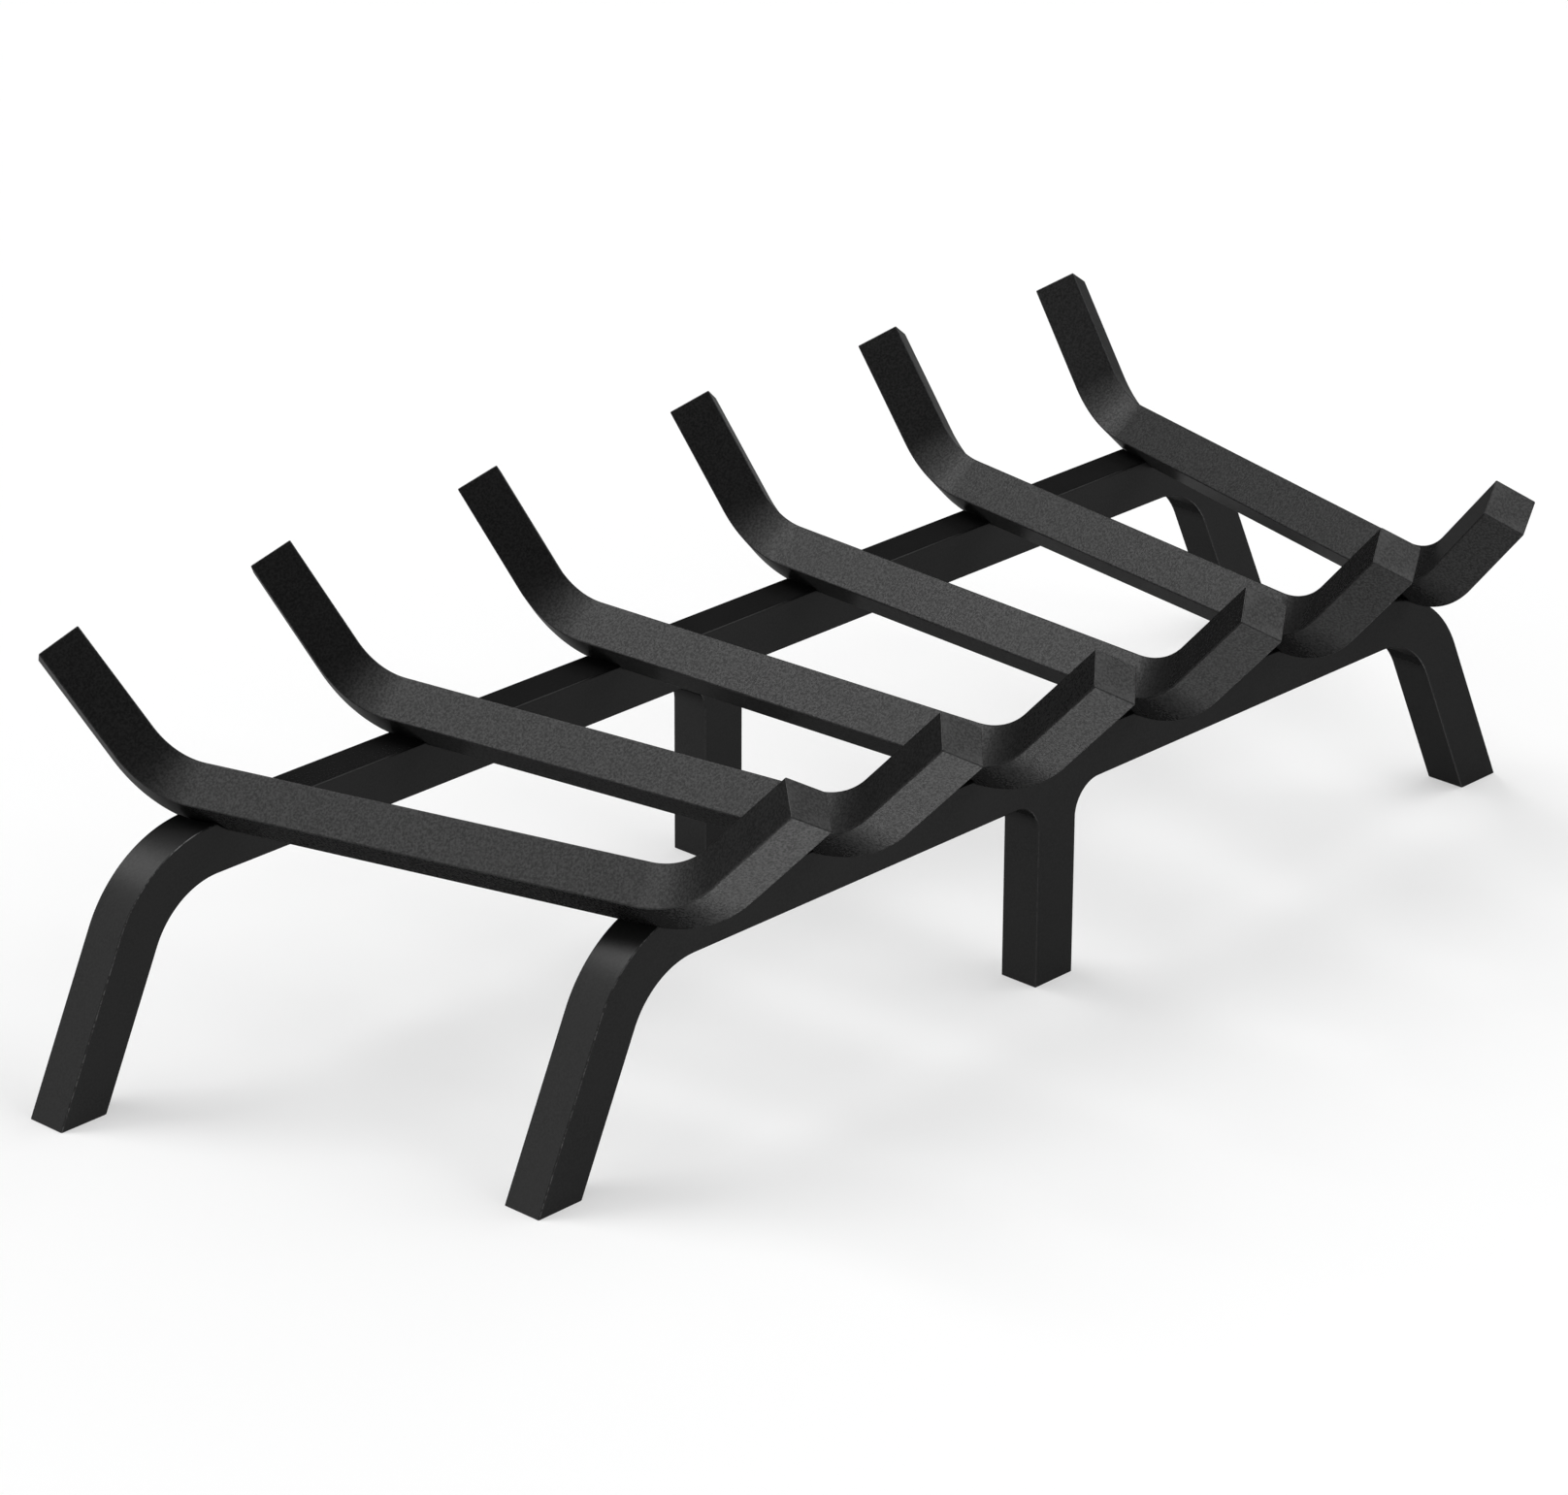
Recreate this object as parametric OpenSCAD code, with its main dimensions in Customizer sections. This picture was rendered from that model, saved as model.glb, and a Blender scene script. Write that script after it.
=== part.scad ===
// Tapered log grate: six square bars laid on their corners across two bent rails.
// X runs along the rails, Y from the short rear rail to the long front rail, Z up.
// The origin is on the hearth, under the middle of the log bars.

/* [Log bars] */
// Side of the square log bar stock
bar_w = 19; // [12:0.5:26]
// Rounding along the four edges of the log bars
bar_edge_r = 0.6; // [0.3:0.1:2]
// Centre line radius of the bend at each end of a log bar
bar_bend_r = 46; // [30:1:70]
// Angle by which the ends of a log bar turn up
tip_angle = 47; // [20:1:70]
// Straight length of each turned-up end
tip_len = 49; // [20:1:90]
// Flat length of a log bar between its two bends
flat_len = 197; // [180:1:250]

/* [Bar places] */
// Distance from the middle line to the inner pair of bars, at the rear rail
rear_inner = 49.5; // [40:0.5:60]
// Distance from the middle line to the middle pair of bars, at the rear rail
rear_middle = 143.5; // [125:0.5:155]
// Distance from the middle line to the outer pair of bars, at the rear rail
rear_outer = 231.5; // [215:0.5:240]
// Distance from the middle line to the inner pair of bars, at the front rail
front_inner = 60; // [45:0.5:75]
// Distance from the middle line to the middle pair of bars, at the front rail
front_middle = 172; // [150:0.5:190]
// Distance from the middle line to the outer pair of bars, at the front rail
front_outer = 281.5; // [260:0.5:290]

/* [Rails] */
// Height of the rail section
rail_h = 21; // [16:0.5:28]
// Depth of the rail section, front to back
rail_d = 18.5; // [14:0.5:24]
// Rounding along the edges of the rails and middle legs
rail_edge_r = 0.6; // [0.3:0.1:1.5]
// Distance from the middle of the log bars back to the centre line of the rear rail
rear_rail = 90; // [80:0.5:98]
// Distance from the middle of the log bars forward to the centre line of the front rail
front_rail = 95; // [80:0.5:98]
// Height of the top of the rails above the hearth
rail_top = 103.5; // [80:0.5:150]
// Half the straight length of the rear rail, up to the bend into its legs
rear_half = 210; // [200:0.5:225]
// Half the straight length of the front rail, up to the bend into its legs
front_half = 285; // [276:0.5:300]
// Inside radius of the bend from a rail into its leg
leg_bend_r = 36; // [28:1:44]
// Outward splay of the end legs from the vertical
leg_splay = 25.2; // [5:0.1:35]

/* [Middle legs] */
// Width of a middle leg along its rail
mid_w = 22.5; // [14:0.5:30]
// Radius of the concave weld between a middle leg and its rail
fillet_r = 14; // [6:0.5:20]

/* [Seats and welds] */
// Depth of the V seats of the inner and middle bars in the flat top of a rail
seat = 2.2; // [1:0.1:4]
// Depth of the V seats of the outer bars in the bent shoulders of the rear rail
shoulder_seat = 0.6; // [0.4:0.1:2]
// Radius of the weld bead beside each seat
bead_r = 3; // [2:0.1:4]
// How far the ends of a bead stay inside the faces of the rail
bead_inset = 1.5; // [1:0.1:3]

/* [Hidden] */

coat = "#2b2b2c";
weld_coat = "#343435";
$fn = 180;

// Chords in the rounding of each edge of the stock
edge_steps = 3;
// How much each face of the stock swells where it is bent
swell = 0.05;
// How far the straight stock runs on inside a swollen bend
lap = 0.5;
// Rails: height of the underside, turn of the leg bends, outside radius of those bends
rail_under = rail_top - rail_h;
leg_turn = 90 - leg_splay;
shoulder_r = leg_bend_r + rail_h;
// Centre lines of the rails
rear_y = -rear_rail;
front_y = front_rail;
rail_gap = front_y - rear_y;
// Half the diagonal of the log bars
bar_diag = bar_w / sqrt(2);
// Places of the six bars along each rail, from left to right
rear_places = [-rear_outer, -rear_middle, -rear_inner, rear_inner, rear_middle, rear_outer];
front_places = [-front_outer, -front_middle, -front_inner, front_inner, front_middle, front_outer];
// Depth of the lowest edge of each bar under the flat top of the rails
outer_depth = shoulder_fall(rear_outer) + shoulder_seat;
depths = [outer_depth, seat, seat, seat, seat, outer_depth];

// How far the top of the rear rail has curved down at the distance x from the middle line
function shoulder_fall(x) = let (u = max(0, x - rear_half)) shoulder_r - sqrt(shoulder_r ^ 2 - u ^ 2);

function bar_heading(i) = atan2(rear_places[i] - front_places[i], rail_gap);
function bar_middle(i) = (rear_places[i] * front_y - front_places[i] * rear_y) / rail_gap;
function bar_centre_z(i) = rail_top - depths[i] + bar_diag;

// Distance from the lowest edge of bar i to the line where its right face leaves the rail's top,
// which is flat up to half and then falls away as a round shoulder
function toe(i, place, half) =
    let (side = sign(place), past = abs(place) - half, up = shoulder_r - depths[i])
    past <= 0 ? depths[i] : (sqrt(2 * shoulder_r ^ 2 - (past - side * up) ^ 2) - side * past - up) / 2;

// Rectangle w by d with its corners rounded by short chords
function bar_outline(w, d, r) = [
    for (quarter = [0:3], step = [0:edge_steps])
        let (a = 90 * quarter + 90 * step / edge_steps,
            sx = (quarter == 0 || quarter == 3) ? 1 : -1,
            sy = quarter < 2 ? 1 : -1)
        [sx * (w / 2 - r) + r * cos(a), sy * (d / 2 - r) + r * sin(a)]
];

// Square log bar section, standing on its corner, with some extra on each face
module corner_section(extra = 0) {
    rotate(45)
        polygon(bar_outline(bar_w + 2 * extra, bar_w + 2 * extra, bar_edge_r));
}

// Straight log bar stock along +Y from the origin
module corner_stock(length, extra = 0) {
    rotate([-90, 0, 0])
        linear_extrude(length)
            corner_section(extra);
}

// One turned-up end: the bend starts at the origin and heads along +Y
module turned_up_end() {
    translate([0, 0, bar_bend_r]) {
        rotate([0, 90, 0])
            rotate_extrude(angle = tip_angle)
                translate([bar_bend_r, 0])
                    corner_section(swell);
        rotate([tip_angle, 0, 0])
            translate([0, -lap, -bar_bend_r])
                corner_stock(lap + tip_len);
    }
}

// Moves children from the origin to a bar's place and heading on the rails
module at_bar(i) {
    translate([bar_middle(i), 0, bar_centre_z(i)])
        rotate([0, 0, bar_heading(i)])
            children();
}

// Bar bent up alike at both ends, with the middle of its flat length at the origin
module bent_bar() {
    translate([0, -flat_len / 2 - lap, 0])
        corner_stock(flat_len + 2 * lap);
    translate([0, flat_len / 2, 0])
        turned_up_end();
    translate([0, -flat_len / 2, 0])
        mirror([0, 1, 0])
            turned_up_end();
}

module log_bar(i) {
    color(coat)
        at_bar(i)
            bent_bar();
}

// Cutter for a seat: a straight length of bar across one rail, clear of the swollen bends
module seat_cut(i, rail_y) {
    at_bar(i)
        translate([0, rail_y / cos(bar_heading(i)) - rail_d, 0])
            corner_stock(2 * rail_d, swell);
}

// Rail stock along +X from the origin
module rail_stock(length) {
    rotate([90, 0, 90])
        linear_extrude(length)
            polygon(bar_outline(rail_d, rail_h, rail_edge_r));
}

// Bend and splayed leg at the +X end of a rail, from the end of its straight part
module splayed_leg() {
    bend_r = leg_bend_r + rail_h / 2;
    drop = bend_r * (1 - cos(leg_turn));
    reach = (rail_top - rail_h / 2 - drop) / sin(leg_turn) + rail_h;
    translate([0, 0, -bend_r]) {
        rotate([-90, -90, 0])
            rotate_extrude(angle = leg_turn)
                translate([bend_r, 0])
                    polygon(bar_outline(rail_h + 2 * swell, rail_d + 2 * swell, rail_edge_r));
        rotate([0, leg_turn, 0])
            translate([-lap, 0, bend_r])
                rail_stock(lap + reach);
    }
}

// Rail with a leg bent down at each end, its feet cut level with the hearth
module bent_rail(half, rail_y) {
    difference() {
        translate([0, rail_y, rail_top - rail_h / 2])
            union() {
                translate([-half - lap, 0, 0])
                    rail_stock(2 * (half + lap));
                translate([half, 0, 0])
                    splayed_leg();
                translate([-half, 0, 0])
                    mirror([1, 0, 0])
                        splayed_leg();
            }
        translate([-half - 2 * rail_top, rail_y - rail_d, -rail_top])
            cube([2 * half + 4 * rail_top, 2 * rail_d, rail_top]);
    }
}

module seated_rail(half, rail_y) {
    color(coat)
        difference() {
            bent_rail(half, rail_y);
            for (i = [0:5])
                seat_cut(i, rail_y);
        }
}

// Middle leg stock, standing under its rail
module leg_stock(rail_y) {
    translate([0, rail_y, 0])
        linear_extrude(rail_under)
            polygon(bar_outline(mid_w, rail_d, rail_edge_r));
}

module middle_leg(rail_y) {
    color(coat)
        leg_stock(rail_y);
}

// Outline of the T joint: the leg between two concave quarters, up into the rail's lower edge
module t_joint_outline() {
    difference() {
        translate([-mid_w / 2 - fillet_r, rail_under - fillet_r])
            square([mid_w + 2 * fillet_r, fillet_r + rail_edge_r]);
        for (side = [-1, 1])
            translate([side * (mid_w / 2 + fillet_r), rail_under - fillet_r])
                circle(fillet_r);
    }
}

// Weld dressed flush with the faces of the rail and the middle leg
module leg_weld(rail_y) {
    color(weld_coat)
        difference() {
            translate([0, rail_y + rail_d / 2, 0])
                rotate([90, 0, 0])
                    linear_extrude(rail_d)
                        t_joint_outline();
            translate([-rail_top, rail_y, rail_top - rail_h / 2])
                rail_stock(2 * rail_top);
            leg_stock(rail_y);
        }
}

// Round-ended bead along Y, centred on the origin
module bead(run) {
    rotate([90, 0, 0]) {
        cylinder(h = run, r = bead_r, center = true);
        for (end = [-1, 1])
            translate([0, 0, end * run / 2])
                sphere(bead_r);
    }
}

// Bead lying in the corner between the right face of bar i and the top of its rail
module seat_weld(i, place, half, rail_y) {
    run = (rail_d - 2 * bead_inset) / cos(bar_heading(i)) - 2 * bead_r;
    toe_x = toe(i, place, half);
    // The middle of the bead lies out of that corner by two thirds of its radius, rising at this angle
    lean = 22.5;
    out = 2 / 3 * bead_r;
    bead_x = toe_x + out * cos(lean);
    bead_z = toe_x - bar_diag + out * sin(lean);
    color(weld_coat)
        difference() {
            at_bar(i)
                translate([bead_x, rail_y / cos(bar_heading(i)), bead_z])
                    bead(run);
            bent_rail(half, rail_y);
            seat_cut(i, rail_y);
        }
}

module rear_weld(i) {
    seat_weld(i, rear_places[i], rear_half, rear_y);
}

module front_weld(i) {
    seat_weld(i, front_places[i], front_half, front_y);
}

log_bar(0);  // log_bar_1
log_bar(1);  // log_bar_2
log_bar(2);  // log_bar_3
log_bar(3);  // log_bar_4
log_bar(4);  // log_bar_5
log_bar(5);  // log_bar_6
seated_rail(rear_half, rear_y);  // rear_rail
seated_rail(front_half, front_y);  // front_rail
middle_leg(rear_y);  // rear_middle_leg
middle_leg(front_y);  // front_middle_leg
leg_weld(rear_y);  // rear_leg_weld
leg_weld(front_y);  // front_leg_weld
rear_weld(0);  // rear_weld_1
rear_weld(1);  // rear_weld_2
rear_weld(2);  // rear_weld_3
rear_weld(3);  // rear_weld_4
rear_weld(4);  // rear_weld_5
rear_weld(5);  // rear_weld_6
front_weld(0);  // front_weld_1
front_weld(1);  // front_weld_2
front_weld(2);  // front_weld_3
front_weld(3);  // front_weld_4
front_weld(4);  // front_weld_5
front_weld(5);  // front_weld_6
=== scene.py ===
import bpy
import numpy as np
from mathutils import Matrix, Vector


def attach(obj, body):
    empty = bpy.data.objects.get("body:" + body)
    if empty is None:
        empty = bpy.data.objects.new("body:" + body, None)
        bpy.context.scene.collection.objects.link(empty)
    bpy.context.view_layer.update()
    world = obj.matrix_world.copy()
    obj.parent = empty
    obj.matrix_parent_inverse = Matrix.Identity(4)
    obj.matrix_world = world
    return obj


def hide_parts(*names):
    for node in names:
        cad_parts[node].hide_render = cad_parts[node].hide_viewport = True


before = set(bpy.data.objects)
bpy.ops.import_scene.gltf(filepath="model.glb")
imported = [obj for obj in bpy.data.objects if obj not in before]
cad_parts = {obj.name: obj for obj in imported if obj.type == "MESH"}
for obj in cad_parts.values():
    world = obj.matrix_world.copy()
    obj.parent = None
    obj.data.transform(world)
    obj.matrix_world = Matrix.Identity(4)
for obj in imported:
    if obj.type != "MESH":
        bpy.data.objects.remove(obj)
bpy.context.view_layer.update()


# Log bars: six lengths of 19 mm square steel bar laid on their corners, each bent up cold at
# both ends to hold the logs. They are cut square, the cuts are deburred, and the whole grate is
# powder coated black after welding, in a fine-grained satin finish.
mm = 0.001
bar_w = 19 * mm
bar_edge_r = 0.6 * mm
bar_bend_r = 46 * mm
tip_angle = np.radians(47)
tip_len = 49 * mm
cut_rim_r = 0.5 * mm
flat_len = 197 * mm
rail_top = 103.5 * mm
rear_y = -90 * mm
front_y = 95 * mm
bar_places_rear = np.array([-231.5, -143.5, -49.5, 49.5, 143.5, 231.5]) * mm
bar_places_front = np.array([-281.5, -172, -60, 60, 172, 281.5]) * mm
bar_heading = np.arctan2(bar_places_rear - bar_places_front, front_y - rear_y)
bar_middle = (bar_places_rear * front_y - bar_places_front * rear_y) / (front_y - rear_y)
bar_diag = bar_w / np.sqrt(2)
# How deep the bars sit below the rails' tops. The outer two cross where a rail already bends down
# round the radius shoulder_r, past the end of its level part, so they sit deeper by that drop.
seat = 2.2 * mm
shoulder_seat = 0.6 * mm
shoulder_r = 57 * mm
rear_half = 210 * mm
past_level = bar_places_rear[5] - rear_half
outer_depth = shoulder_r - np.sqrt(shoulder_r ** 2 - past_level ** 2) + shoulder_seat
seat_depth = np.array([outer_depth, seat, seat, seat, seat, outer_depth])


def rounded_section(wide, tall, edge_r, steps=5):
    """Outline of a bar's section: points, outward directions, and 1 along the edges to 0 on the flats.

    Round each corner a point is the corner's centre plus edge_r times the unit vector at its
    angle, and the flats are the long gaps between the four quarters.
    """
    quarter = np.repeat(np.arange(4), steps + 1)
    turn = np.tile(np.linspace(0, np.pi / 2, steps + 1), 4)
    out = np.stack([np.cos(quarter * np.pi / 2 + turn), np.sin(quarter * np.pi / 2 + turn)], 1)
    side = np.stack([np.where(quarter % 3 == 0, 1, -1), np.where(quarter < 2, 1, -1)], 1)
    points = side * (np.array([wide, tall]) / 2 - edge_r) + edge_r * out
    return points, out, np.sin(2 * turn)


def turned_45(section):
    """The same section standing on its corner: points and directions turned by an eighth."""
    points, out, edge = section
    turn = np.sqrt(0.5) * np.array([[1, 1], [-1, 1]])
    return points @ turn, out @ turn, edge


def carried(section, centres, across, up, inset, lean):
    """A section carried along a path, one ring of points at each of its stations.

    A point is the station's centre plus (u - inset * out_u) across and (v - inset * out_v) up.
    Its normal is the outward direction, leant towards the end of the bar by the angle lean,
    so rings with a growing inset and lean make the rounded rim of a sawn end.
    """
    points, out, edge = section
    flat = points[None] - inset[:, None, None] * out[None]
    place = centres[:, None] + flat[..., :1] * across[:, None] + flat[..., 1:] * up[:, None]
    facing = out[None, :, :1] * across[:, None] + out[None, :, 1:] * up[:, None]
    along = np.cross(up, across)
    normal = np.cos(lean)[:, None, None] * facing + (np.sin(lean)[:, None] * along)[:, None]
    # Mask for the painted edge light: 1 along the rounded edges and round the rims of sawn ends
    painted_edge_mask = np.maximum(edge[None], np.abs(np.sin(2 * lean))[:, None])
    return place, normal, painted_edge_mask


def closed_skin(name, shells):
    """One mesh from shells of rings: four-sided faces between neighbouring rings, a flat face on each end."""
    places, normals, painted_edge_mask, faces, start = [], [], [], [], 0
    for place, normal, edge in shells:
        rings, around = place.shape[:2]
        index = start + np.arange(rings * around).reshape(rings, around)
        after = np.roll(index, -1, axis=1)
        quads = np.stack([index[:-1], index[1:], after[1:], after[:-1]], -1).reshape(-1, 4)
        faces += quads.tolist() + [index[0].tolist(), index[-1, ::-1].tolist()]
        places.append(place.reshape(-1, 3))
        normals.append(normal.reshape(-1, 3))
        painted_edge_mask.append(edge.ravel())
        start += rings * around
    mesh = bpy.data.meshes.new(name)
    mesh.from_pydata(np.concatenate(places), [], faces)
    # The mask is kept on the mesh as the attribute edge, where the coat paints its edge light
    mesh.attributes.new("edge", "FLOAT", "POINT").data.foreach_set("value", np.concatenate(painted_edge_mask))
    mesh.shade_smooth()
    mesh.normals_split_custom_set_from_vertices(np.concatenate(normals))
    piece = bpy.data.objects.new(name, mesh)
    bpy.context.scene.collection.objects.link(piece)
    return piece


def powder_coat(name, colour, grain_depth, speckle, painted_edge_tone):
    """Satin black powder coat: a fine grain over slow clouds in tone, with painted light along the edges.

    The colour is the share of light that the satin gives back, and the tint keeps its gloss low
    at a slant. The grain is noise of about 1 mm, which gives the bump and sets the flecks off
    from their ground, each by the share speckle. The clouds are noise of about 20 mm. Along the
    middle of each edge, times a broken noise of about 2 mm, the colour turns to the given edge tone
    times itself: a painted highlight where that tone is above 1, painted shade where it is below 1.
    """
    gloss_share = 0.72
    slant_tint = 0.32
    grains_per_m, clouds_per_m, breaks_per_m = 1050, 48, 600
    cloud_range, grain_range, break_range = (0.3, 0.7), (0.36, 0.64), (0.42, 0.58)
    cloud_tones = (0.92, 1.04)
    cloud_roughness = (0.35, 0.38)
    edge_middle = (0.5, 1)
    faintest_edge_paint = 0.25

    coat = bpy.data.materials.new(name)
    coat.use_nodes = True
    nodes, links = coat.node_tree.nodes, coat.node_tree.links
    shader = nodes["Principled BSDF"]
    shader.inputs["Metallic"].default_value = gloss_share
    shader.inputs["Specular IOR Level"].default_value = 0
    shader.inputs["Specular Tint"].default_value = (slant_tint, slant_tint, slant_tint, 1)
    place = nodes.new("ShaderNodeTexCoord").outputs["Object"]

    def noise(scale, detail):
        texture = nodes.new("ShaderNodeTexNoise")
        texture.inputs["Scale"].default_value = scale
        texture.inputs["Detail"].default_value = detail
        links.new(place, texture.inputs["Vector"])
        return texture.outputs["Fac"]

    def spread(value, given, wanted):
        scaled = nodes.new("ShaderNodeMapRange")
        for socket, number in zip(scaled.inputs[1:5], (*given, *wanted)):
            socket.default_value = number
        links.new(value, scaled.inputs["Value"])
        return scaled.outputs["Result"]

    def times(a, b):
        product = nodes.new("ShaderNodeMath")
        product.operation = "MULTIPLY"
        links.new(a, product.inputs[0])
        links.new(b, product.inputs[1])
        return product.outputs["Value"]

    def mixed(share, a, b):
        mix = nodes.new("ShaderNodeMix")
        mix.data_type = "RGBA"
        for socket, shade in (("A", a), ("B", b)):
            if isinstance(shade, bpy.types.NodeSocket):
                links.new(shade, mix.inputs[socket])
            else:
                mix.inputs[socket].default_value = shade
        links.new(share, mix.inputs["Factor"])
        return mix.outputs["Result"]

    def shade_of(share):
        return [share * c for c in colour] + [1]

    grain = noise(grains_per_m, 1.5)
    clouds = noise(clouds_per_m, 3)
    dark, light = [shade_of(tone * (1 - speckle)) for tone in cloud_tones]
    ground = mixed(spread(clouds, cloud_range, (0, 1)), dark, light)
    flecked = mixed(spread(grain, grain_range, (0, 1)), ground, shade_of(1 + speckle))
    # Painted light along the edges: a painted highlight where the edge tone is above 1 and painted shade
    # where it is below 1, broken up by noise
    attribute = nodes.new("ShaderNodeAttribute")
    attribute.attribute_name = "edge"
    edges = spread(attribute.outputs["Fac"], edge_middle, (0, 1))
    edge_paint_mix = times(edges, spread(noise(breaks_per_m, 2), break_range, (faintest_edge_paint, 1)))
    links.new(mixed(edge_paint_mix, flecked, shade_of(painted_edge_tone)), shader.inputs["Base Color"])
    links.new(spread(clouds, cloud_range, cloud_roughness), shader.inputs["Roughness"])
    bump = nodes.new("ShaderNodeBump")
    bump.inputs["Strength"].default_value = 1
    bump.inputs["Distance"].default_value = grain_depth
    links.new(grain, bump.inputs["Height"])
    links.new(bump.outputs["Normal"], shader.inputs["Normal"])
    return coat


def end_rim(radius, steps=5):
    """Stations of a rounded rim: how far each lies before the end, its inset and its lean.

    They are a quarter circle: the radius times 1 - sin(lean), and times 1 - cos(lean).
    """
    lean = np.linspace(0, np.pi / 2, steps)
    return radius * (1 - np.sin(lean)), radius * (1 - np.cos(lean)), lean


# The bars' edges are painted half again as light: a painted highlight
bar_coat = powder_coat("black_powder_coat", colour=(0.035, 0.035, 0.035), grain_depth=0.05 * mm,
                       speckle=0.25, painted_edge_tone=1.5)
bar_section = turned_45(rounded_section(bar_w, bar_w, bar_edge_r))
# Half a bar's path in its own plane, from the middle forward: the way the bar turns, and its middle
# line, which runs on level, goes up a circle of bar_bend_r and then straight to the tip
rim_back, rim_inset, rim_lean = end_rim(cut_rim_r)
bar_bend_rings = 33
bend = np.linspace(0, tip_angle, bar_bend_rings)
half_turn = np.concatenate([bend, np.full(rim_back.size, tip_angle)])
run_on = np.concatenate([np.zeros(bend.size), tip_len - rim_back])
half_run = flat_len / 2 + bar_bend_r * np.sin(half_turn) + run_on * np.cos(half_turn)
half_rise = bar_bend_r * (1 - np.cos(half_turn)) + run_on * np.sin(half_turn)
half_inset = np.concatenate([np.zeros(bend.size), rim_inset])
half_lean = np.concatenate([np.zeros(bend.size), rim_lean])
# The whole bar, from its rear tip to its front tip
bar_turn = np.concatenate([-half_turn[::-1], half_turn])
bar_run = np.concatenate([-half_run[::-1], half_run])
bar_rise = np.concatenate([half_rise[::-1], half_rise])
bar_inset = np.concatenate([half_inset[::-1], half_inset])
bar_lean = np.concatenate([-half_lean[::-1], half_lean])
for i in range(6):
    right = np.array([np.cos(bar_heading[i]), np.sin(bar_heading[i]), 0])
    ahead = np.array([-np.sin(bar_heading[i]), np.cos(bar_heading[i]), 0])
    high = np.array([0, 0, 1])
    middle = np.array([bar_middle[i], 0, rail_top - seat_depth[i] + bar_diag])
    centres = middle + bar_run[:, None] * ahead + bar_rise[:, None] * high
    up = np.cos(bar_turn)[:, None] * high - np.sin(bar_turn)[:, None] * ahead
    across = np.broadcast_to(right, up.shape)
    shell = carried(bar_section, centres, across, up, bar_inset, bar_lean)
    bar = closed_skin(f"bent_log_bar_{i + 1}", [shell])
    bar.data.materials.append(bar_coat)
    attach(bar, "root")
    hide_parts(f"log_bar_{i + 1}")


# Rails: two flat bars on edge, each bent down at both ends into a pair of splayed legs with level
# feet. V seats are cut across their tops for the log bars, and they carry the same coat, with a
# painted highlight down the outer edges of the legs.
rail_h = 21 * mm
rail_d = 18.5 * mm
rail_edge_r = 0.6 * mm
foot_rim_r = 0.4 * mm
leg_bend_r = 36 * mm
leg_turn = np.radians(90 - 25.2)
front_half = 285 * mm
rail_black = (0.031, 0.031, 0.031)
fine_grain = 0.02 * mm
fine_speckle = 0.05
# The rails' edges are painted five and a half times as light: a painted highlight
rail_coat = powder_coat("black_powder_coat_rails", rail_black, fine_grain, fine_speckle, painted_edge_tone=5.5)
rail_section = rounded_section(rail_d, rail_h, rail_edge_r)
rail_bend_rings = 60


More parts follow.
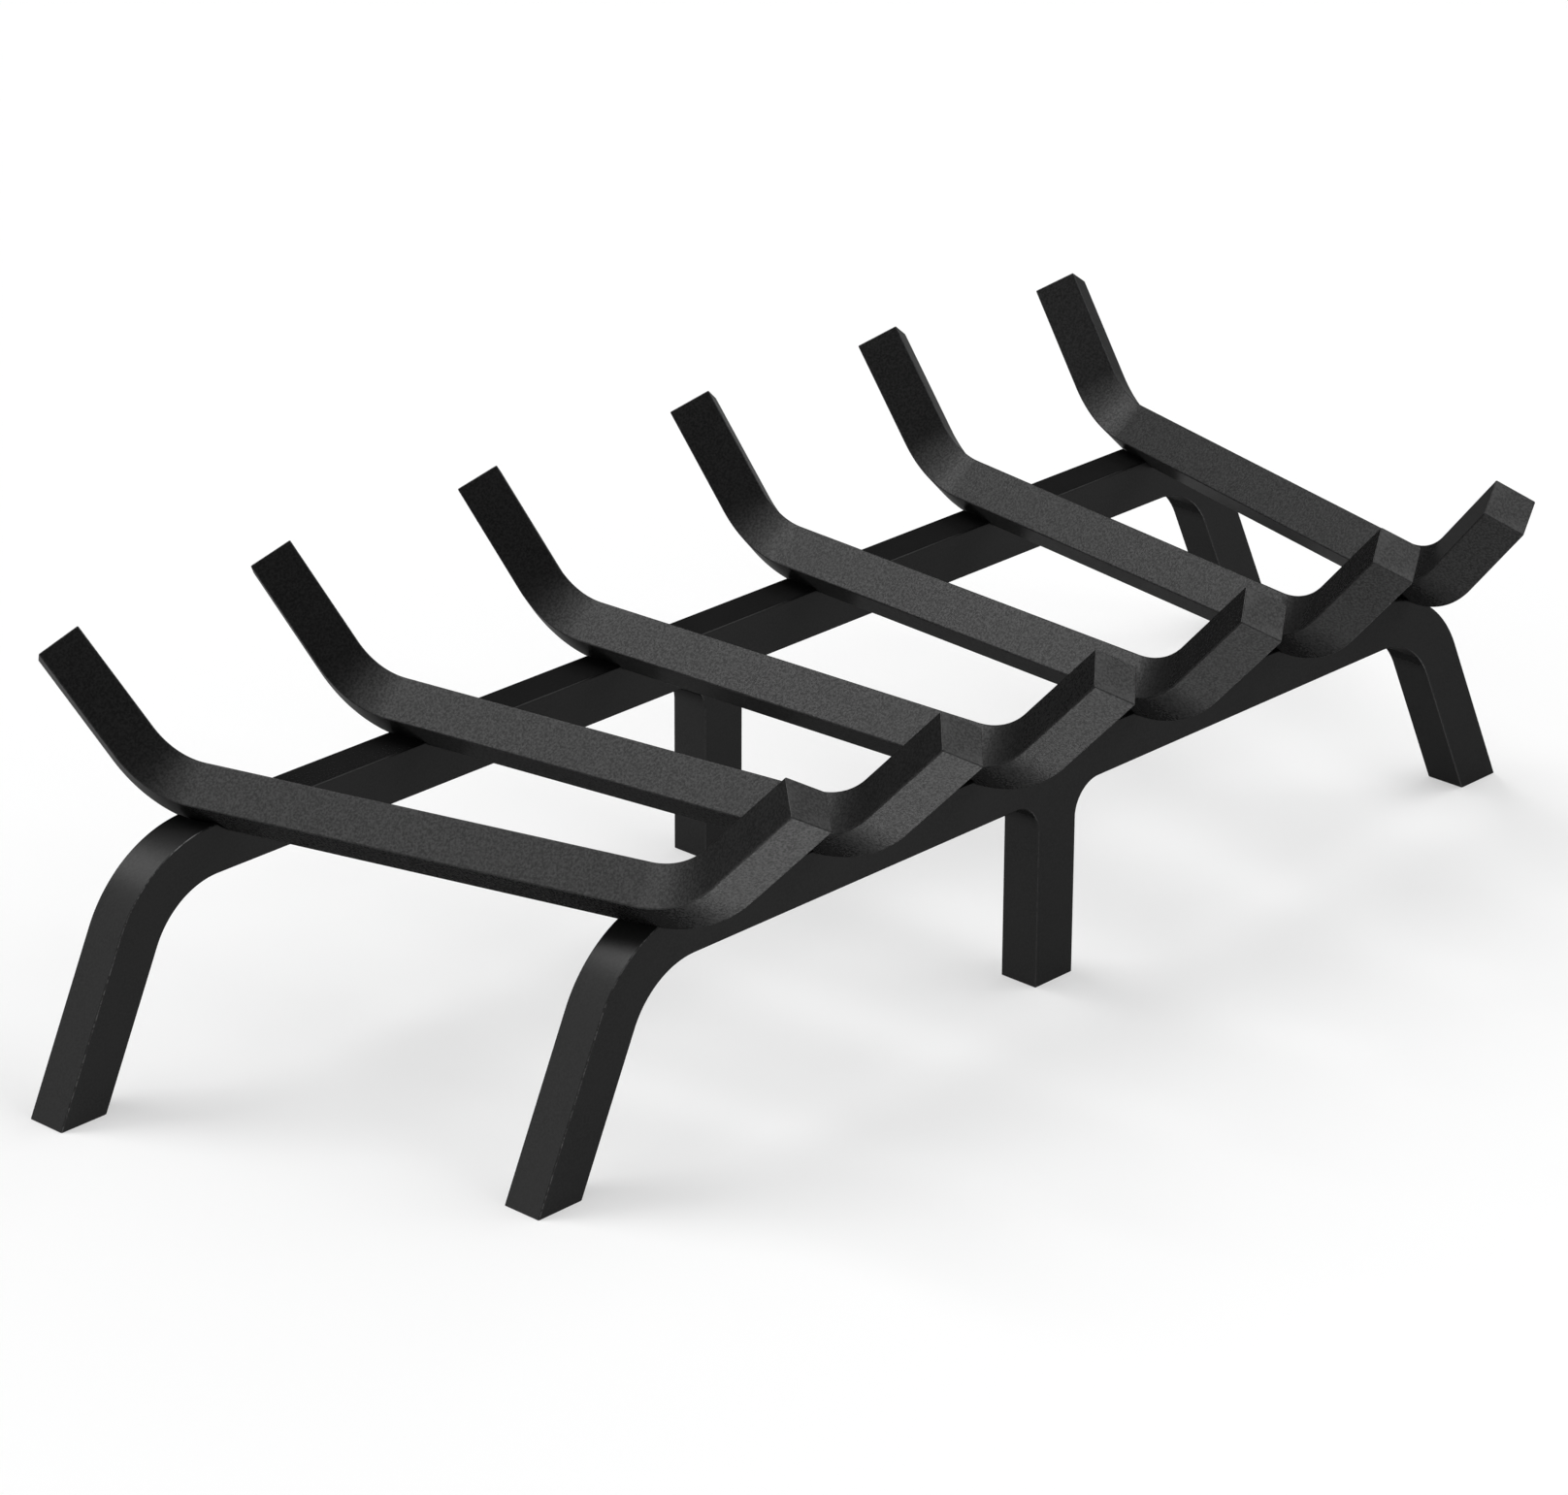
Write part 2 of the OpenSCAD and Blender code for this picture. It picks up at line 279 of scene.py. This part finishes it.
def bent_rail(half, rail_y, places):
    """Rail rings from the left foot to the right one.

    The middle line runs level, turns through a round bend and goes straight down to the hearth,
    where the rings slide along the leg until they are level. Near a bar the rings lean in plan
    as the bar does, and what stands above the bar's V comes down to the V, whose height is that
    of its lowest line plus the distance sideways from it.
    """
    least_gap = 2 * mm
    dimmed_edge_light = 0.1
    bend_rings_in_a_seat = 3

    line_r = leg_bend_r + rail_h / 2
    slope = -np.tan(bar_heading)
    width = seat_depth / np.cos(bar_heading)
    stops = (places[:, None] + width[:, None] * np.array([-1, 0, 1])).ravel()
    shears = np.repeat(slope, 3)
    inside = np.abs(stops) < half - least_gap
    stops = np.concatenate([[-half], stops[inside], [half]])
    shears = np.concatenate([[0], shears[inside], [0]])
    turn = np.linspace(0, leg_turn, rail_bend_rings + 1)[1:]
    foot_rise, foot_inset, foot_lean = end_rim(foot_rim_r)
    turn = np.concatenate([turn, np.full(foot_rise.size, leg_turn)])
    drop = line_r * (1 - np.cos(leg_turn))
    reach = (rail_top - rail_h / 2 - drop) / np.sin(leg_turn)
    run_on = np.where(np.arange(turn.size) < rail_bend_rings, 0, reach)
    leg_x = half + line_r * np.sin(turn) + run_on * np.cos(turn)
    leg_z = rail_top - rail_h / 2 - line_r * (1 - np.cos(turn)) - run_on * np.sin(turn)
    level = np.full(stops.size, rail_top - rail_h / 2)
    x = np.concatenate([-leg_x[::-1], stops, leg_x])
    z = np.concatenate([leg_z[::-1], level, leg_z])
    turned = np.concatenate([turn[::-1], np.zeros(stops.size), -turn])
    plain = np.zeros(stops.size + 2 * rail_bend_rings)
    inset = np.concatenate([foot_inset[::-1], plain, foot_inset])
    lean = np.concatenate([-foot_lean[::-1], plain, foot_lean])
    centres = np.stack([x, np.full(x.size, rail_y), z], 1)
    up = np.stack([-np.sin(turned), np.zeros(x.size), np.cos(turned)], 1)
    across = np.broadcast_to([0, -1, 0], up.shape)
    place, normal, painted_edge_mask = carried(rail_section, centres, across, up, inset, lean)
    # The painted edge highlight is kept to the legs' outer edges and dimmed elsewhere
    painted_edge_mask[np.abs(x) <= half] *= dimmed_edge_light
    painted_edge_mask[:, rail_section[0][:, 1] < 0] *= dimmed_edge_light
    # The feet slide down their legs to the hearth
    feet = foot_rise.size
    for rows, rise, sign in ((slice(0, feet), foot_rise[::-1], 1), (slice(-feet, None), foot_rise, -1)):
        slide = (rise[:, None] - place[rows, :, 2]) / np.sin(leg_turn)
        place[rows, :, 2] += slide * np.sin(leg_turn)
        place[rows, :, 0] += slide * sign * np.cos(leg_turn)
    # The seats are cut
    first = feet + rail_bend_rings
    straight = slice(first, first + stops.size)
    place[straight, :, 0] += shears[:, None] * (place[straight, :, 1] - rail_y)
    near = slice(first - bend_rings_in_a_seat, first + stops.size + bend_rings_in_a_seat)
    for i in range(6):
        c, s = np.cos(bar_heading[i]), np.sin(bar_heading[i])
        side = (place[near, :, 0] - bar_middle[i]) * c + place[near, :, 1] * s
        place[near, :, 2] = np.minimum(place[near, :, 2], rail_top - seat_depth[i] + np.abs(side))
    return place, normal, painted_edge_mask


for name, node, half, rail_y, places in (
    ("bent_rear_rail", "rear_rail", rear_half, rear_y, bar_places_rear),
    ("bent_front_rail", "front_rail", front_half, front_y, bar_places_front),
):
    rail = closed_skin(name, [bent_rail(half, rail_y, places)])
    rail.data.materials.append(rail_coat)
    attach(rail, "root")
    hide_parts(node)


# Middle legs: a short straight bar under the middle of each rail, sawn square at the foot and
# butted up against the rail's underside. Same steel and coat as the rails, a little wider.
mid_w = 22.5 * mm
rail_under = rail_top - rail_h
# The middle legs' edges are painted half again as light: a painted highlight
leg_coat = powder_coat("black_powder_coat_legs", rail_black, fine_grain, fine_speckle, painted_edge_tone=1.5)
leg_section = rounded_section(mid_w, rail_d, rail_edge_r)
foot_rise, foot_inset, foot_lean = end_rim(foot_rim_r)
leg_z = np.concatenate([foot_rise[::-1], [rail_under + rail_edge_r]])
for name, node, rail_y in (
    ("rear_straight_leg", "rear_middle_leg", rear_y),
    ("front_straight_leg", "front_middle_leg", front_y),
):
    centres = np.stack([np.zeros(leg_z.size), np.full(leg_z.size, rail_y), leg_z], 1)
    across = np.broadcast_to([1, 0, 0], centres.shape)
    up = np.broadcast_to([0, -1, 0], centres.shape)
    inset = np.append(foot_inset[::-1], 0)
    lean = np.append(-foot_lean[::-1], 0)
    leg = closed_skin(name, [carried(leg_section, centres, across, up, inset, lean)])
    leg.data.materials.append(leg_coat)
    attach(leg, "root")
    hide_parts(node)


# Leg welds: the weld round the top of each middle leg, ground to a smooth concave corner on both
# sides and flush with the faces of the rail and leg, so no seam shows under the coat.
fillet_r = 14 * mm
flush = 0.02 * mm
bite = 1 * mm
fillet_rings = 33
band = (np.sqrt(2) - 1) * fillet_r + bite
# The fillets' edges are painted darker, to 0.7 of the coat: painted shade where their rounding catches light
weld_coat = powder_coat("black_powder_coat_welds", rail_black, fine_grain, fine_speckle, painted_edge_tone=0.7)
fillet_section = rounded_section(band, rail_d - 2 * flush, rail_edge_r)
sweep = np.linspace(0, np.pi / 2, fillet_rings)
no_rim = np.zeros(fillet_rings)
for name, node, rail_y in (
    ("rear_leg_fillets", "rear_leg_weld", rear_y),
    ("front_leg_fillets", "front_leg_weld", front_y),
):
    halves = []
    for side in (-1, 1):
        # Away from the fillet's centre, starting at the leg and ending under the rail
        away = np.stack([-side * np.cos(sweep), np.zeros(fillet_rings), np.sin(sweep)], 1)
        centre = np.array([side * (mid_w / 2 + fillet_r), rail_y, rail_under - fillet_r])
        across = np.broadcast_to([0, side, 0], away.shape)
        place = centre + (fillet_r + band / 2) * away
        halves.append(carried(fillet_section, place, away, across, no_rim, no_rim))
    fillets = closed_skin(name, halves)
    fillets.data.materials.append(weld_coat)
    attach(fillets, "root")
    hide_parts(node)


# Seat welds: one bead laid beside each log bar where it crosses a rail, in the corner between the
# bar's right face and the rail's top. The bead keeps the ripples of its puddles under the coat.
bead_r = 3 * mm
bead_inset = 1.5 * mm
bead_out = 2 / 3 * bead_r
corner_middle = np.radians(22.5)
chance = np.random.default_rng(7)


def toe(i, place, half):
    """Distance from the lowest edge of bar i to the line where its right face leaves the rail's top.

    On the level part that is the depth of the seat. Past it the rail's top is a circle of
    shoulder_r, and the distance t, both sideways and up, is the larger root of
    (side * past + t) ** 2 + (low + t) ** 2 = shoulder_r ** 2.
    """
    side, past, low = np.sign(place), abs(place) - half, shoulder_r - seat_depth[i]
    if past <= 0:
        return seat_depth[i]
    return (np.sqrt(2 * shoulder_r ** 2 - (past - side * low) ** 2) - side * past - low) / 2


def rippled_bead(run, phase):
    """A round-ended bead along its own Y: the radius is that of a capsule, with crescent ripples.

    The ripple is the share of a pitch that has passed at a place along the bead, where the
    crown of the bead runs ahead of its flanks, raised to a power that softens its falling side.
    """
    rings, around = 90, 36
    first_ring_angle = 0.04
    ripple_pitch = 1.9 * mm
    ripple_height = 0.16 * mm
    crown_lead = 1.1 * mm
    softness = 0.6
    mean_height = 0.6

    where = -np.cos(np.linspace(first_ring_angle, np.pi - first_ring_angle, rings)) * (run / 2 + bead_r)
    angle = np.arange(around) * 2 * np.pi / around
    past = np.clip(np.abs(where) - run / 2, 0, None)
    radius = np.sqrt(np.clip(bead_r ** 2 - past ** 2, 0, None))
    ahead = where[:, None] + crown_lead * np.cos(angle - corner_middle)[None]
    step = (ahead / ripple_pitch + phase) % 1
    fade = np.clip(radius / bead_r, 0, 1)[:, None]
    reach = radius[:, None] + ripple_height * (step ** softness - mean_height) * fade
    along = np.repeat(where[:, None], around, 1)
    return np.stack([reach * np.cos(angle), along, reach * np.sin(angle)], -1)


for end, half, rail_y, places in (
    ("rear", rear_half, rear_y, bar_places_rear),
    ("front", front_half, front_y, bar_places_front),
):
    for i in range(6):
        c, s = np.cos(bar_heading[i]), np.sin(bar_heading[i])
        run = (rail_d - 2 * bead_inset) / c - 2 * bead_r
        toe_x = toe(i, places[i], half)
        out = bead_out * np.array([np.cos(corner_middle), np.sin(corner_middle)])
        local = rippled_bead(run, chance.uniform())
        local = local + np.array([toe_x + out[0], rail_y / c, toe_x - bar_diag + out[1]])
        place = local @ np.array([[c, s, 0], [-s, c, 0], [0, 0, 1]])
        place = place + np.array([bar_middle[i], 0, rail_top - seat_depth[i] + bar_diag])
        # Outward is across the way to the next ring and the way round
        around = np.roll(place, -1, axis=1) - np.roll(place, 1, axis=1)
        normal = np.cross(np.gradient(place, axis=0), around)
        normal /= np.linalg.norm(normal, axis=2, keepdims=True)
        bead = closed_skin(f"{end}_seat_bead_{i + 1}", [(place, normal, np.zeros(place.shape[:2]))])
        bead.data.materials.append(weld_coat)
        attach(bead, "root")
        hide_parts(f"{end}_weld_{i + 1}")


# Floor: a plain pale sweep of paper, wide enough to fill the view from any side. The lamps light
# it a little over half way to white, and a glow that only the camera and gloss see does the rest.
paper_colour = (0.5, 0.5, 0.5, 1)
paper_roughness = 0.9
paper_glow = 0.44
floor_half = 60
floor_paint = bpy.data.materials.new("pale_paper")
floor_paint.use_nodes = True
floor_nodes, floor_links = floor_paint.node_tree.nodes, floor_paint.node_tree.links
floor_shader = floor_nodes["Principled BSDF"]
floor_shader.inputs["Base Color"].default_value = paper_colour
floor_shader.inputs["Roughness"].default_value = paper_roughness
floor_shader.inputs["Specular IOR Level"].default_value = 0
floor_shader.inputs["Emission Color"].default_value = (1, 1, 1, 1)
ray = floor_nodes.new("ShaderNodeLightPath")
seen = ray.outputs["Is Camera Ray"]
for kind in ("Is Glossy Ray", "Is Transmission Ray"):
    either = floor_nodes.new("ShaderNodeMath")
    either.operation = "MAXIMUM"
    floor_links.new(seen, either.inputs[0])
    floor_links.new(ray.outputs[kind], either.inputs[1])
    seen = either.outputs["Value"]
glow = floor_nodes.new("ShaderNodeMath")
glow.operation = "MULTIPLY"
glow.inputs[1].default_value = paper_glow
floor_links.new(seen, glow.inputs[0])
floor_links.new(glow.outputs["Value"], floor_shader.inputs["Emission Strength"])
floor_mesh = bpy.data.meshes.new("floor")
floor_mesh.from_pydata([(-floor_half, -floor_half, 0), (floor_half, -floor_half, 0),
                        (floor_half, floor_half, 0), (-floor_half, floor_half, 0)], [], [(0, 1, 2, 3)])
floor = bpy.data.objects.new("floor", floor_mesh)
floor.data.materials.append(floor_paint)
bpy.context.scene.collection.objects.link(floor)


# Studio light: four soft lamps light the grate as in the photograph, three weaker ones light its
# top, right and rear for the other views, and one below stands for light off a pale table.
def soft_sun(name, towards, spread, strength):
    """A lamp so far off that it lights the floor evenly, shining from the direction towards."""
    lamp = bpy.data.lights.new(name, "SUN")
    lamp.energy = strength
    lamp.angle = np.radians(spread)
    lit = bpy.data.objects.new(name, lamp)
    lit.rotation_euler = Vector(towards).to_track_quat("Z", "Y").to_euler()
    bpy.context.scene.collection.objects.link(lit)
    return lit


soft_sun("overhead_lamp", (-0.17, 0.58, 0.79), 32, 1.38)
soft_sun("high_left_lamp", (-0.5, 0.25, 0.83), 40, 0.48)
soft_sun("side_lamp", (0.67, -0.34, 0.65), 50, 1.36)
soft_sun("left_lamp", (-0.71, 0.63, 0.25), 50, 0.76)
soft_sun("top_lamp", (0.3, 0.05, 0.95), 40, 0.4)
soft_sun("right_lamp", (0.95, 0.25, 0.2), 40, 0.6)
soft_sun("rear_lamp", (0.2, -0.8, 0.55), 26, 0.4)
# The table lamp shines up through the floor, which stops no lamp's light. Rays off the gloss do
# stop at the floor, so the lamp is sampled as a lamp alone.
table_lamp = soft_sun("table_lamp", (0.03, -0.25, -0.97), 36, 1.35)
table_lamp.data.cycles.use_multiple_importance_sampling = False
floor.visible_shadow = False
world = bpy.data.worlds.new("studio")
bpy.context.scene.world = world
world.use_nodes = True
background = world.node_tree.nodes["Background"]
background.inputs["Color"].default_value = (1, 1, 1, 1)
background.inputs["Strength"].default_value = 0.08


# Camera: a long lens above the left rear corner, as in the photograph. Its place and angles are
# those that bring the grate's edges onto the photograph's.
photo_width = 1616
focal_pixels = 6478.843
camera_place = (-1.767909, -1.5973, 1.083237)
yaw, pitch, roll = np.radians(47.003), np.radians(-22.976), np.radians(0.272)
camera = bpy.data.cameras.new("camera")
camera.sensor_width = 36
camera.lens = camera.sensor_width * focal_pixels / photo_width
camera.clip_start, camera.clip_end = 0.1, 200
look = np.array([np.sin(yaw) * np.cos(pitch), np.cos(yaw) * np.cos(pitch), np.sin(pitch)])
level_right = np.array([np.cos(yaw), -np.sin(yaw), 0])
crown = np.cross(level_right, look)
picture_right = np.cos(roll) * level_right + np.sin(roll) * crown
picture_up = -np.sin(roll) * level_right + np.cos(roll) * crown
stand = np.eye(4)
stand[:3, 0], stand[:3, 1], stand[:3, 2] = picture_right, picture_up, -look
stand[:3, 3] = camera_place
viewer = bpy.data.objects.new("camera", camera)
viewer.matrix_world = Matrix(stand)
bpy.context.scene.collection.objects.link(viewer)
bpy.context.scene.camera = viewer
bpy.context.scene.view_settings.view_transform = "Standard"
